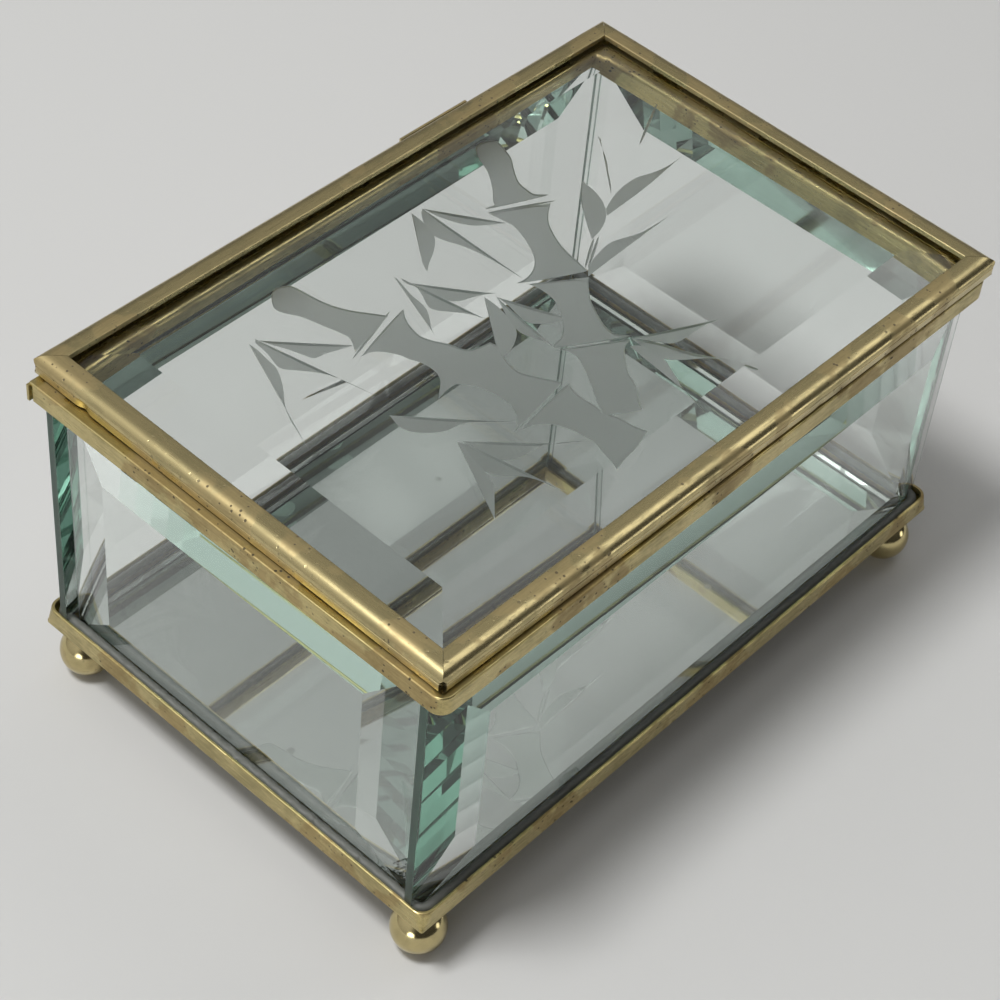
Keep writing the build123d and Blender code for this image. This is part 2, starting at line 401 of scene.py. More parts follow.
@dataclass(frozen=True)
class SilverFinish:
    """Silvering behind the mirror's glass, with a few dull spots near its edge."""

    name: str = "silvering"
    silver: Colour = (0.80, 0.83, 0.81, 1.0)
    spoiled: Colour = (0.16, 0.15, 0.12, 1.0)

    def build(self) -> bpy.types.Material:
        """Make the material."""
        material = bpy.data.materials.new(self.name)
        kit = Shading(material)
        plain = kit.place()
        spot = kit.cells(plain, 150.0).between(0.16, 0.05) * kit.noise(plain, 40.0, 2.0).between(0.6, 0.72)
        bloom = kit.noise(plain, 30.0, 3.0).between(0.4, 0.8)
        kit.surface(
            {
                "Base Color": kit.mix(spot * 0.6, self.silver, self.spoiled),
                "Metallic": 1.0,
                "Roughness": kit.clamp(0.02 + bloom * 0.03 + spot * 0.3),
            }
        )
        return material


@dataclass(frozen=True)
class FluxAndGapShadeFinish:
    """Greenish crust that the solder's flux left in a corner, with bright grains in it; on the seal beads its
    near-black colour is also painted shade of the gaps between panes and strips.
    """

    name: str = "flux_crust"
    # Near-black: flux residue, and painted shade where the beads fill the gaps between panes and strips.
    crust_and_gap_shade: Colour = (0.035, 0.045, 0.022, 1.0)
    light: Colour = (0.50, 0.54, 0.40, 1.0)

    def build(self) -> bpy.types.Material:
        """Make the material."""
        material = bpy.data.materials.new(self.name)
        kit = Shading(material)
        plain = kit.place()
        grain = kit.cells(plain, 1500.0).between(0.22, 0.08) * kit.noise(plain, 260.0, 2.0).between(0.5, 0.7)
        cloud = kit.noise(plain, 700.0, 4.0, 0.7)
        kit.surface(
            {
                "Base Color": kit.mix(kit.clamp(grain * 0.7 + cloud.between(0.55, 0.8) * 0.22), self.crust_and_gap_shade, self.light),
                "Roughness": 0.5 - grain * 0.3,
                "Normal": kit.bump(cloud + grain * 0.5, 0.00006),
            }
        )
        return material


@dataclass(frozen=True)
class SolderFinish:
    """Grey soft solder, slightly crystalline."""

    name: str = "solder"
    bright: Colour = (0.56, 0.50, 0.36, 1.0)
    dark: Colour = (0.24, 0.20, 0.13, 1.0)

    def build(self) -> bpy.types.Material:
        """Make the material."""
        material = bpy.data.materials.new(self.name)
        kit = Shading(material)
        plain = kit.place()
        cloud = kit.noise(plain, 500.0, 4.0, 0.65)
        kit.surface(
            {
                "Base Color": kit.mix(cloud.between(0.4, 0.7), self.bright, self.dark),
                "Metallic": 1.0,
                "Roughness": 0.3 + cloud * 0.25,
                "Normal": kit.bump(cloud, 0.00004),
            }
        )
        return material


@dataclass(frozen=True)
class ClothFloorFinish:
    """Plain pale floor with a very faint unevenness."""

    name: str = "pale_floor"
    pale: Colour = (0.60, 0.60, 0.59, 1.0)

    def build(self) -> bpy.types.Material:
        """Make the material."""
        material = bpy.data.materials.new(self.name)
        kit = Shading(material)
        cloud = kit.noise(kit.place(), 9.0, 3.0)
        shade = kit.mix(cloud * 0.12, self.pale, (0.50, 0.50, 0.49, 1.0))
        kit.surface({"Base Color": shade, "Roughness": 0.85})
        return material


class Palette:
    """All finishes, made once."""

    def __init__(self, middle: Vector) -> None:
        """Make every material.

        Args:
            middle: the case's middle at the datum.
        """
        worn = {
            "metal": (0.58, 0.48, 0.22, 1.0),
            "dull": (0.34, 0.285, 0.13, 1.0),
            "tarnish": 0.9,
            "pits": 1.0,
            "rough": 0.28,
        }
        self.rim = {
            "front": BrassFinish("case_brass_long", Grain.ALONG_X, **worn).build(),
            "left": BrassFinish("case_brass_short", Grain.ALONG_Y, **worn).build(),
        }
        self.rim["back"], self.rim["right"] = self.rim["front"], self.rim["left"]
        self.lid = {
            "front": BrassFinish("lid_brass_long", Grain.ALONG_X, tarnish=0.65, pits=0.85).build(),
            "left": BrassFinish("lid_brass_short", Grain.ALONG_Y, tarnish=0.65, pits=0.85).build(),
        }
        self.lid["back"], self.lid["right"] = self.lid["front"], self.lid["left"]
        self.ball = BrassFinish("foot_brass_round", Grain.ROUND, tarnish=0.35, pits=0.3, rough=0.14).build()
        self.hinge = BrassFinish("hinge_brass_long", Grain.ALONG_X, tarnish=0.8, pits=0.4, rough=0.3).build()
        self.long_pane = GlassFinish("pane_glass_long", ground=GroundEnds(middle, "X", 75.22)).build()
        self.short_pane = GlassFinish("pane_glass_short", ground=GroundEnds(middle, "Y", 45.27)).build()
        self.lid_pane = GlassFinish("lid_cut_glass", frost=0.7).build()
        self.mirror_glass = GlassFinish("mirror_float_glass", density=14.0, smear=0.01).build()
        self.silver = SilverFinish().build()
        # The flux crust and the grey putty also paint the shade in the gaps between panes and strips where the seal
        # beads lie.
        self.flux_and_gap_shade = FluxAndGapShadeFinish().build()
        self.putty_and_gap_shade = FluxAndGapShadeFinish("grey_putty", (0.13, 0.135, 0.12, 1.0), (0.22, 0.22, 0.19, 1.0)).build()
        self.solder = SolderFinish().build()
        self.floor = ClothFloorFinish().build()


# ---------------------------------------------------------------------------------------------------------------
# Shared mesh work
# ---------------------------------------------------------------------------------------------------------------
@dataclass(frozen=True)
class Layout:
    """Where the case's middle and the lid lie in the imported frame."""

    case_length: float = 152.0
    case_depth: float = 101.5
    lid_shift: Point = (1.5, 0.5)
    lid_turn: float = -0.5
    datum: float = 1.6

    def middle(self) -> Vector:
        """Middle of the case at the datum just above the floor, in metres."""
        low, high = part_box("mirror_floor")
        return Vector(((low.x + high.x) / 2, (low.y + high.y) / 2, self.datum * MM))

    def case_place(self) -> Matrix:
        """Matrix from millimetres about the case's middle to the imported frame."""
        return Matrix.Translation(self.middle()) @ Matrix.Scale(MM, 4)

    def lid_place(self) -> Matrix:
        """Matrix from millimetres about the lid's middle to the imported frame."""
        shift = Matrix.Translation(Vector((*self.lid_shift, 0.0)))
        return self.case_place() @ shift @ Matrix.Rotation(math.radians(self.lid_turn), 4, "Z")

    def side_turn(self, side: str) -> Matrix:
        """Turn that brings the front side to the given side."""
        quarter = ("front", "right", "back", "left").index(side)
        return Matrix.Rotation(math.radians(90.0 * quarter), 4, "Z")


def put_in_place(piece: bpy.types.Object, place: Matrix, crease: float = 32.0) -> bpy.types.Object:
    """Move a piece's mesh, point its faces outwards and keep its edges crisp.

    Args:
        piece: piece whose object sits at the origin.
        place: matrix for its vertices.
        crease: angle in degrees above which an edge is sharp.

    Returns:
        The piece.
    """
    mesh = piece.data
    mesh.transform(place)
    work = bmesh.new()
    work.from_mesh(mesh)
    bmesh.ops.remove_doubles(work, verts=work.verts, dist=1e-7)
    bmesh.ops.recalc_face_normals(work, faces=work.faces)
    work.to_mesh(mesh)
    work.free()
    mesh.shade_smooth()
    mesh.set_sharp_from_angle(angle=math.radians(crease))
    return piece


def mesh_piece(name: str, mesh: bpy.types.Mesh, finish: bpy.types.Material) -> bpy.types.Object:
    """New object for a mesh, with its finish."""
    piece = bpy.data.objects.new(name, mesh)
    mesh.materials.append(finish)
    bpy.context.scene.collection.objects.link(piece)
    return piece


def fasten(piece: bpy.types.Object, body: str, slot: str, *stands_for: str) -> bpy.types.Object:
    """Tell the frame which body carries a piece and the nodes that it stands for, and report it.

    Args:
        piece: finished piece.
        body: name of the body that carries it.
        slot: material slot in the record; not used.
        stands_for: nodes that it replaces.

    Returns:
        The piece.
    """
    if stands_for:
        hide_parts(*stands_for)
    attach(piece, body)
    log.info("%s: %d faces on %s", piece.name, len(piece.data.polygons), body)
    return piece


def smooth_run(points: Sequence[Vector], steps: int) -> list[Vector]:
    """Curve through the points of an open run, without its last point.

    Args:
        points: two or more points.
        steps: new points for each gap.

    Returns:
        The points of the curve.
    """
    if len(points) < 3:
        return [points[0].lerp(points[1], i / steps) for i in range(steps)]
    out = []
    for i in range(len(points) - 1):
        before = points[i - 1] if i else points[0] * 2 - points[1]
        start, stop = points[i], points[i + 1]
        after = points[i + 2] if i + 2 < len(points) else stop * 2 - start
        for k in range(steps):
            t = k / steps
            out.append(
                0.5
                * (
                    2 * start
                    + (stop - before) * t
                    + (2 * before - 5 * start + 4 * stop - after) * t * t
                    + (3 * start - before - 3 * stop + after) * t**3
                )
            )
    return out


def smooth_outline(outline: Sequence[Point], corner: float = 48.0, steps: int = 4) -> list[Vector]:
    """Round a closed outline between its corners, which stay sharp.

    Args:
        outline: points in order.
        corner: turn in degrees above which a point is a corner.
        steps: new points for each gap.

    Returns:
        The points of the smooth outline.
    """
    ring = [Vector(p) for p in outline]
    count = len(ring)

    def turn(i: int) -> float:
        """Turn of the outline at a point, in degrees."""
        into, out = ring[i] - ring[i - 1], ring[(i + 1) % count] - ring[i]
        return math.degrees(into.angle(out))

    corners = [i for i in range(count) if turn(i) > corner]
    smooth = []
    for first, last in zip(corners, corners[1:] + [corners[0] + count]):
        smooth += smooth_run([ring[i % count] for i in range(first, last + 1)], steps)
    return smooth


def resample(points: Sequence[Vector], count: int) -> list[Vector]:
    """Points at even steps along a line.

    Args:
        points: the line.
        count: how many points to return.

    Returns:
        The even points, ends included.
    """
    lengths = [0.0]
    for a, b in zip(points, points[1:]):
        lengths.append(lengths[-1] + (b - a).length)
    out, k = [], 0
    for i in range(count):
        want = lengths[-1] * i / (count - 1)
        while k < len(points) - 2 and lengths[k + 1] < want:
            k += 1
        gap = lengths[k + 1] - lengths[k]
        out.append(points[k].lerp(points[k + 1], (want - lengths[k]) / gap if gap else 0.0))
    return out


def from_line(point: Vector, line: Sequence[Vector]) -> float:
    """Distance of a point from a line of many points."""
    best = 1e9
    for a, b in zip(line, line[1:]):
        run = b - a
        t = max(0.0, min(1.0, (point - a).dot(run) / max(run.length_squared, 1e-12)))
        best = min(best, (point - a - run * t).length_squared)
    return math.sqrt(best)


def is_inside(point: Vector, ring: Sequence[Vector]) -> bool:
    """Whether a point lies inside a closed outline."""
    inside = False
    for a, b in zip(ring, [*ring[1:], ring[0]]):
        if (a.y > point.y) != (b.y > point.y) and point.x < (b.x - a.x) * (point.y - a.y) / (b.y - a.y) + a.x:
            inside = not inside
    return inside


# ---------------------------------------------------------------------------------------------------------------
# The lid
# ---------------------------------------------------------------------------------------------------------------
@dataclass
class LidRails:
    """Four mitred lengths of drawn brass channel: rounded shoulder, groove, plain lower band and lip."""

    layout: Layout
    bottom: float = 76.85
    top: float = 80.95
    width: float = 4.65
    wall: float = 1.0
    shoulder: float = 1.87
    shoulder_width: float = 2.55
    groove_height: float = 78.85
    groove_half: float = 0.13
    groove_depth: float = 0.38
    lip: float = 0.3
    lip_reach: float = 4.4
    corner: float = 1.0
    gap: float = 0.12
    stations: int = 260
    wave: float = 0.05

    def arc(
        self, centre: Point, radius: float, start: float, stop: float, steps: int, stretch: float = 1.0
    ) -> list[Point]:
        """Points on an arc that may be stretched inward, angles in degrees from the inward axis up."""
        angles = (math.radians(start + (stop - start) * i / steps) for i in range(steps + 1))
        return [(centre[0] + radius * stretch * math.cos(a), centre[1] + radius * math.sin(a)) for a in angles]

    def section(self) -> list[Point]:
        """Closed section as (inward, height) pairs, counted from the outer face and the floor."""
        top, low, wall = self.top, self.bottom, self.wall
        stretch = self.shoulder_width / self.shoulder
        outer = self.arc((self.shoulder_width, top - self.shoulder), self.shoulder, 180, 90, 14, stretch)
        inner = self.arc((self.shoulder, top - self.shoulder), self.shoulder - wall, 90, 180, 6)
        edge = self.arc((self.width - 0.2, top - 0.2), 0.2, 90, 0, 4)
        heel = self.arc((0.4, low + 0.4), 0.4, 270, 180, 5)
        throat = [
            (0.0, self.groove_height - self.groove_half),
            (self.groove_depth, self.groove_height),
            (0.0, self.groove_height + self.groove_half),
        ]
        flat = [(x, top) for x in (3.0, 3.7)]
        under = [(self.width, top - wall), (self.shoulder, top - wall)]
        lip = [(wall, low + self.lip), (self.lip_reach, low + self.lip), (self.lip_reach, low)]
        return heel + throat + outer + flat + edge + under + inner[1:] + lip

    def recipe(self, finish: bpy.types.Material) -> Recipe:
        """Tree that sweeps the section along a side, cuts the mitres, and gives the metal its slight waves.

        Args:
            finish: material of the rails.

        Returns:
            The tree.
        """
        tree = Recipe(
            "mitred_rail",
            {"Half Length": 76.0, "Gap": 0.06, "Corner": 1.0, "Wave": 0.05, "Stations": 120, "Seed": 1.0,
             "Dent At": 0.0, "Dent": 0.0},
        )
        half = tree.given("Half Length")
        place = tree.add("ShaderNodeSeparateXYZ", None, {0: tree.geometry("GeometryNodeInputPosition")})
        stored = tree.source.outputs["Geometry"]
        for name, axis in (("inward", "Y"), ("height", "Z")):
            stored = tree.geometry(
                "GeometryNodeStoreNamedAttribute",
                {"data_type": "FLOAT", "domain": "POINT"},
                {"Geometry": stored, "Name": name, "Value": place.outputs[axis]},
            )
        profile = tree.geometry("GeometryNodeMeshToCurve", None, {0: stored})
        line = tree.geometry("GeometryNodeCurvePrimitiveLine", None, {"Start": (-1, 0, 0), "End": (1, 0, 0)})
        path = tree.geometry("GeometryNodeResampleCurve", None, {"Curve": line, "Count": tree.given("Stations")})
        path = tree.geometry(
            "GeometryNodeStoreNamedAttribute",
            {"data_type": "FLOAT", "domain": "POINT"},
            {"Geometry": path, "Name": "along", "Value": tree.geometry("GeometryNodeSplineParameter")},
        )
        strip = tree.geometry(
            "GeometryNodeCurveToMesh", None, {"Curve": path, "Profile Curve": profile, "Fill Caps": True}
        )

        def named(name: str) -> Signal:
            """A stored number."""
            return tree.signal("GeometryNodeInputNamedAttribute", 0, {"data_type": "FLOAT"}, {"Name": name})

        inward, height, along = named("inward"), named("height"), named("along") * 2.0 - 1.0
        radius = tree.given("Corner")
        depth = tree.math("MAXIMUM", radius - inward, 0.0)
        rounded = half - radius + tree.math("SQRT", radius * radius - depth * depth)
        reach = tree.math("MINIMUM", half - inward - tree.given("Gap"), rounded)
        x = along * reach
        spot = tree.vector(x, inward * 3.0, height * 3.0)
        ripple = tree.signal(
            "ShaderNodeTexNoise", 0, {"noise_dimensions": "4D"},
            {"Vector": spot, "W": tree.given("Seed"), "Scale": 0.045, "Detail": 2.0},
        )
        shiver = tree.signal(
            "ShaderNodeTexNoise", 0, {"noise_dimensions": "4D"},
            {"Vector": spot, "W": tree.given("Seed") + 7.0, "Scale": 0.35, "Detail": 2.0},
        )
        press = (ripple * 0.75 + shiver * 0.25) * tree.given("Wave")
        near = (x - tree.given("Dent At")) / 1.1
        dent = tree.math("EXPONENT", near * near * -1.0) * tree.given("Dent")
        inner = inward.between(3.4, 2.2)
        low = height.between(self.bottom + 2.6, self.bottom + 1.2)
        moved = tree.vector(x, inward + (press + dent * low) * inner, height - press * (1.0 - low))
        strip = tree.geometry("GeometryNodeSetPosition", None, {"Geometry": strip, "Position": moved})
        tree.end(strip, finish)
        return tree

    def start_mesh(self) -> bpy.types.Mesh:
        """Closed section as a loop of edges, in millimetres."""
        ring = self.section()
        mesh = bpy.data.meshes.new("rail_section")
        edges = [(i, (i + 1) % len(ring)) for i in range(len(ring))]
        mesh.from_pydata([(0.0, inward, height) for inward, height in ring], edges, [])
        return mesh

    def build(self, palette: Palette) -> None:
        """Make the four rails.

        Args:
            palette: the finishes.
        """
        dents = {"left": (-37.0, 0.5), "front": (22.0, 0.12), "right": (10.0, 0.1), "back": (-20.0, 0.1)}
        for number, side in enumerate(("front", "right", "back", "left")):
            long_side = side in ("front", "back")
            half = (self.layout.case_length if long_side else self.layout.case_depth) / 2
            away = (self.layout.case_depth if long_side else self.layout.case_length) / 2
            tree = self.recipe(palette.lid[side])
            values = {
                "Half Length": half,
                "Gap": self.gap / 2,
                "Corner": self.corner,
                "Wave": self.wave,
                "Stations": self.stations if long_side else int(self.stations * 0.7),
                "Seed": 3.0 + 5.0 * number,
                "Dent At": dents[side][0],
                "Dent": dents[side][1],
            }
            piece = tree.run(f"lid_channel_{side}", self.start_mesh(), values)
            out = self.layout.side_turn(side) @ Matrix.Translation((0.0, -away, 0.0))
            put_in_place(piece, self.layout.lid_place() @ out)
            fasten(piece, "lid", "lid_brass", f"lid_rail_{side}")


@dataclass(frozen=True)
class CutLeaf:
    """A leaf cut by a tilted wheel: steep on its straight side, sloping up to its bowed side."""

    name: str
    straight: tuple[Point, ...]
    bowed: tuple[Point, ...]
    stations: int = 26
    steep: float = 0.26
    depth: float = 0.42

    def lines(self) -> tuple[list[Vector], list[Vector], list[Vector], list[float]]:
        """Straight edge, bottom of the cut, bowed edge, and the cut's depth at each station."""
        straight = resample(self.run(self.straight), self.stations)
        bowed = resample(self.run(self.bowed), self.stations)
        bottom, depths = [], []
        for i, (near, far) in enumerate(zip(straight, bowed)):
            across = (far - near).length
            share = min(0.45, self.steep / across) if across > 1e-6 else 0.0
            bottom.append(near.lerp(far, share))
            swell = math.sin(math.pi * i / (self.stations - 1)) ** 0.6
            depths.append(min(self.depth * swell, across * 0.3))
        return straight, bottom, bowed, depths

    @staticmethod
    def run(points: tuple[Point, ...]) -> list[Vector]:
        """Smooth run through the points, last point included."""
        ring = [Vector(p) for p in points]
        return smooth_run(ring, 6) + [ring[-1]]


@dataclass(frozen=True)
class CutSlit:
    """A short groove cut by a thin wheel: a lens on the surface with its bottom along the middle."""

    start: Point
    stop: Point
    width: float = 0.55
    depth: float = 0.25
    frosted: bool = True
    stations: int = 18

    def lines(self) -> tuple[list[Vector], list[Vector], list[Vector], list[float]]:
        """One edge, the bottom, the other edge, and the depth at each station."""
        a, b = Vector(self.start), Vector(self.stop)
        side = Vector((a.y - b.y, b.x - a.x)).normalized() * self.width / 2
        left, middle, right, depths = [], [], [], []
        for i in range(self.stations):
            t = i / (self.stations - 1)
            swell = math.sin(math.pi * t) ** 0.45 if 0 < i < self.stations - 1 else 0.0
            spot = a.lerp(b, t)
            left.append(spot + side * swell)
            middle.append(spot)
            right.append(spot - side * swell)
            depths.append(self.depth * swell)
        return left, middle, right, depths


STALKS: dict[str, tuple[Point, ...]] = {
    "stalk_a1": ((-34.2, 33.5), (-33.6, 34.2), (-32.3, 35.1), (-30.9, 35.1), (-29.4, 34.3), (-28.8, 33.2),
        (-28.4, 31.2), (-27.9, 27.9), (-27.0, 24.7), (-25.4, 21.6), (-23.5, 19.0), (-21.5, 16.2), (-32.6, 13.4),
        (-30.9, 16.5), (-31.1, 18.6), (-31.8, 21.1), (-32.6, 24.0), (-33.5, 26.8), (-34.7, 28.8), (-35.4, 30.4),
        (-35.3, 31.9)),
    "stalk_a2": ((-18.2, 15.5), (-19.5, 13.8), (-20.5, 11.5), (-21.0, 8.7), (-20.4, 6.6), (-19.4, 4.8),
        (-18.6, 3.3), (-17.8, 1.1), (-16.7, -0.1), (-15.0, -0.7), (-12.8, -1.1), (-12.5, -3.1), (-13.7, -5.2),
        (-14.5, -7.9), (-14.5, -10.4), (-13.1, -13.1), (-11.4, -16.0), (-11.1, -17.0), (-25.7, -19.7),
        (-23.7, -18.1), (-22.5, -16.4), (-21.8, -14.3), (-21.8, -11.8), (-22.3, -9.3), (-23.2, -7.1),
        (-24.7, -5.0), (-25.7, -4.5), (-27.9, -4.6), (-30.1, -5.0), (-28.7, -3.8), (-27.1, -2.5), (-26.0, -1.0),
        (-25.6, 1.2), (-25.9, 3.5), (-26.8, 5.6), (-27.2, 7.2), (-28.1, 8.9), (-29.5, 10.7), (-30.9, 11.6),
        (-32.8, 11.8)),
    "stalk_a3": ((-10.1, -18.1), (-10.9, -20.0), (-11.1, -22.6), (-10.9, -24.9), (-11.0, -27.2), (-10.0, -29.9),
        (-9.6, -33.0), (-8.8, -35.5), (-12.8, -36.8), (-16.6, -37.3), (-19.7, -38.0), (-19.0, -36.0),
        (-18.5, -33.7), (-17.7, -31.0), (-17.9, -29.2), (-18.2, -27.2), (-18.9, -24.9), (-19.9, -23.1),
        (-21.0, -21.9), (-22.5, -20.9), (-24.9, -20.4)),
    "stalk_b1": ((25.1, 38.6), (26.4, 39.4), (28.0, 39.2), (29.2, 38.7), (30.2, 37.7), (29.4, 34.8), (28.3, 32.1),
        (26.3, 29.5), (24.2, 26.3), (23.7, 23.2), (23.9, 21.7), (25.7, 19.9), (13.5, 25.2), (15.7, 24.7),
        (16.5, 25.9), (17.4, 26.7), (19.5, 29.0), (22.0, 32.6), (23.5, 36.3)),
    "stalk_b2": ((24.2, 17.9), (21.5, 16.0), (19.6, 14.1), (18.0, 11.5), (16.7, 8.5), (15.9, 5.5), (15.5, 2.8),
        (14.9, -0.0), (2.4, 6.6), (4.5, 6.3), (7.1, 6.9), (9.3, 8.3), (10.9, 10.3), (12.8, 14.1), (13.9, 17.9),
        (13.8, 19.4), (13.0, 24.0)),
    "stalk_b3": ((13.7, -1.3), (11.0, -3.9), (9.1, -6.1), (7.2, -9.6), (6.0, -12.4), (5.8, -14.8), (7.6, -17.2),
        (-5.3, -9.8), (-4.2, -9.3), (-2.1, -8.9), (-0.1, -7.6), (1.5, -5.8), (3.2, -3.4), (4.4, -0.6), (4.5, 2.7),
        (4.0, 4.9)),
    "stalk_b4": ((6.8, -17.9), (4.4, -18.6), (1.4, -21.5), (-0.4, -23.9), (-1.7, -26.7), (-4.4, -29.8),
        (-5.3, -31.4), (-11.4, -27.6), (-9.9, -24.6), (-7.9, -21.6), (-5.7, -18.1), (-4.0, -14.7), (-4.2, -11.9),
        (-5.2, -10.9)),
}
LEAVES: tuple[CutLeaf, ...] = (
    CutLeaf("a", ((-45.3, 27.6), (-55.9, 0.9)), ((-45.3, 27.6), (-45.2, 25.7), (-45.6, 22.5), (-45.9, 19.9),
        (-47.2, 17.3), (-49.0, 14.7), (-50.7, 12.7), (-52.8, 9.4), (-54.3, 5.3), (-55.9, 0.9))),
    CutLeaf("b", ((-43.6, 27.9), (-42.5, 26.2), (-31.6, 14.8)), ((-43.6, 27.9), (-42.7, 25.4), (-41.2, 22.2),
        (-40.0, 19.0), (-39.2, 17.1), (-36.8, 16.6), (-31.6, 14.8))),
    CutLeaf("c", ((-43.6, 27.9), (-37.1, -0.1)), ((-43.6, 27.9), (-44.2, 27.4), (-44.5, 23.7), (-45.4, 20.5),
        (-45.3, 18.9), (-44.3, 17.7), (-42.5, 15.6), (-41.1, 13.7), (-39.5, 10.3), (-37.1, -0.1))),
    CutLeaf("d", ((2.1, 33.6), (-6.5, 22.2)), ((2.1, 33.6), (1.9, 30.7), (1.3, 27.8), (0.1, 25.4), (-2.6, 23.1),
        (-5.8, 21.2), (-8.3, 19.3))),
    CutLeaf("e", ((4.6, 33.1), (13.6, 19.5)), ((4.6, 33.1), (5.3, 29.2), (7.0, 25.0), (9.2, 22.4), (13.6, 19.5))),
    CutLeaf("f", ((4.6, 33.1), (4.3, 6.1)), ((4.6, 33.1), (3.3, 32.1), (1.4, 29.2), (0.6, 26.1), (1.3, 23.4),
        (2.5, 20.6), (3.6, 15.8), (4.3, 6.1))),
    CutLeaf("g", ((-13.2, 23.0), (-19.5, 5.2)), ((-13.2, 23.0), (-13.2, 21.9), (-14.3, 17.6), (-14.7, 14.0),
        (-15.7, 11.6), (-18.3, 8.2), (-19.5, 5.2))),
    CutLeaf("h", ((-12.5, 21.9), (-8.9, 3.6)), ((-12.5, 21.9), (-12.9, 20.4), (-12.2, 18.3), (-12.8, 16.2),
        (-14.3, 13.0), (-13.8, 11.2), (-12.3, 9.4), (-10.3, 6.8), (-8.9, 3.6))),
    CutLeaf("i", ((-12.2, 19.8), (-3.7, 8.7), (-0.6, 6.2)), ((-12.2, 19.8), (-11.7, 17.5), (-11.6, 15.1),
        (-10.6, 12.0), (-9.0, 10.3), (-5.0, 8.8), (-0.6, 6.2))),
    CutLeaf("j", ((-4.8, 8.0), (-14.9, -5.5)), ((-4.8, 8.0), (-4.8, 4.7), (-5.9, -0.1), (-7.4, -2.7),
        (-10.1, -4.5), (-12.8, -5.3), (-14.9, -5.5))),
    CutLeaf("k", ((-3.1, 6.5), (-5.1, -10.1)), ((-3.1, 6.5), (-3.8, 4.9), (-5.7, 1.1), (-6.8, -2.5), (-6.3, -5.3),
        (-5.4, -7.4), (-5.1, -10.1))),
    CutLeaf("l", ((-3.1, 6.5), (2.5, -6.2)), ((-3.1, 6.5), (-3.1, 3.5), (-3.8, 0.1), (-3.8, -2.3), (-2.5, -3.8),
        (-0.6, -5.2), (2.5, -6.2))),
    CutLeaf("m", ((33.7, 18.5), (28.4, 13.7), (22.2, 5.5)), ((33.7, 18.5), (33.3, 15.4), (32.8, 13.3),
        (31.8, 11.1), (30.5, 9.3), (28.2, 7.4), (25.2, 6.1), (22.2, 5.5))),
    CutLeaf("n", ((29.6, 8.1), (41.9, 8.8), (55.1, 10.4)), ((29.6, 8.1), (30.5, 9.3), (31.7, 10.0), (35.4, 11.3),
        (38.6, 11.9), (42.4, 11.9), (45.2, 11.0), (48.2, 10.3), (51.8, 10.1), (55.1, 10.4))),
    CutLeaf("o", ((13.9, -1.1), (24.5, -0.5), (38.6, 0.1)), ((13.9, -1.1), (15.2, 0.1), (17.2, 1.2), (20.8, 2.1),
        (24.2, 2.5), (27.3, 1.6), (30.7, 0.5), (35.5, 0.2), (38.6, 0.1))),
    CutLeaf("p", ((46.0, 24.5), (34.7, 11.7)), ((46.8, 26.2), (42.0, 19.4), (39.5, 16.7), (37.2, 14.0),
        (34.7, 11.7))),
    CutLeaf("q", ((7.2, -17.8), (23.3, -25.4)), ((7.2, -17.8), (9.0, -20.2), (11.0, -23.1), (12.9, -24.2),
        (15.7, -24.4), (19.1, -24.5), (23.3, -25.4))),
    CutLeaf("r", ((7.1, -17.9), (10.3, -22.6), (12.3, -27.5), (16.5, -34.2)), ((7.1, -17.9), (7.0, -21.4),
        (7.5, -25.4), (9.1, -27.2), (10.9, -28.7), (13.8, -30.9), (16.5, -34.2))),
    CutLeaf("s", ((5.3, -18.9), (3.7, -34.8), (2.5, -40.2)), ((5.3, -18.9), (6.9, -20.1), (7.6, -22.4),
        (7.5, -25.4), (6.2, -28.3), (5.2, -30.6), (3.8, -33.7), (2.5, -40.2))),
    CutLeaf("t", ((-39.5, -2.1), (-31.6, -10.7), (-24.1, -18.4)), ((-39.5, -2.1), (-40.2, -5.1), (-39.6, -7.5),
        (-37.2, -10.1), (-34.6, -11.6), (-31.6, -12.2), (-28.6, -14.3), (-24.1, -18.4))),
    CutLeaf("u", ((-35.4, -14.6), (-44.1, -31.9)), ((-35.4, -14.6), (-35.1, -15.8), (-36.2, -18.7),
        (-37.0, -22.8), (-37.7, -24.8), (-39.0, -26.9), (-44.1, -31.9))),
    CutLeaf("v", ((-34.7, -15.2), (-30.3, -35.9)), ((-34.7, -15.2), (-35.4, -16.5), (-36.7, -19.2),
        (-37.0, -22.8), (-36.0, -25.2), (-33.5, -27.7), (-31.9, -30.5), (-30.3, -35.9))),
    CutLeaf("w", ((-34.7, -15.2), (-23.8, -25.9), (-17.9, -30.2)), ((-34.7, -15.2), (-34.2, -16.7),
        (-34.1, -19.4), (-33.2, -22.6), (-31.0, -24.3), (-27.1, -25.1), (-24.5, -25.6), (-17.9, -30.2))),
)
SLITS: tuple[CutSlit, ...] = (
    CutSlit((-34.3, 12.4), (-20.3, 16.9)),
    CutSlit((-32.8, 11.7), (-18.1, 15.6)),
    CutSlit((-26.2, -19.7), (-10.9, -17.0)),
    CutSlit((-25.0, -20.4), (-10.1, -18.0)),
    CutSlit((13.4, 25.1), (25.9, 19.8)),
    CutSlit((13.0, 24.0), (25.5, 17.7)),
    CutSlit((2.4, 6.6), (15.0, -0.0)),
    CutSlit((3.5, 6.4), (15.1, 0.5)),
    CutSlit((-5.2, -9.9), (7.5, -17.3)),
    CutSlit((-5.5, -10.7), (6.8, -18.0)),
    CutSlit((-11.4, -27.6), (-5.5, -31.1)),
    CutSlit((22.8, 5.5), (15.2, 0.9)),
    CutSlit((23.9, 5.2), (15.6, 0.5)),
    CutSlit((63.1, 24.5), (50.5, 18.2)),
    CutSlit((17.1, -36.3), (18.4, -38.7)),
    CutSlit((-37.4, 18.4), (-36.1, 16.7)),
)


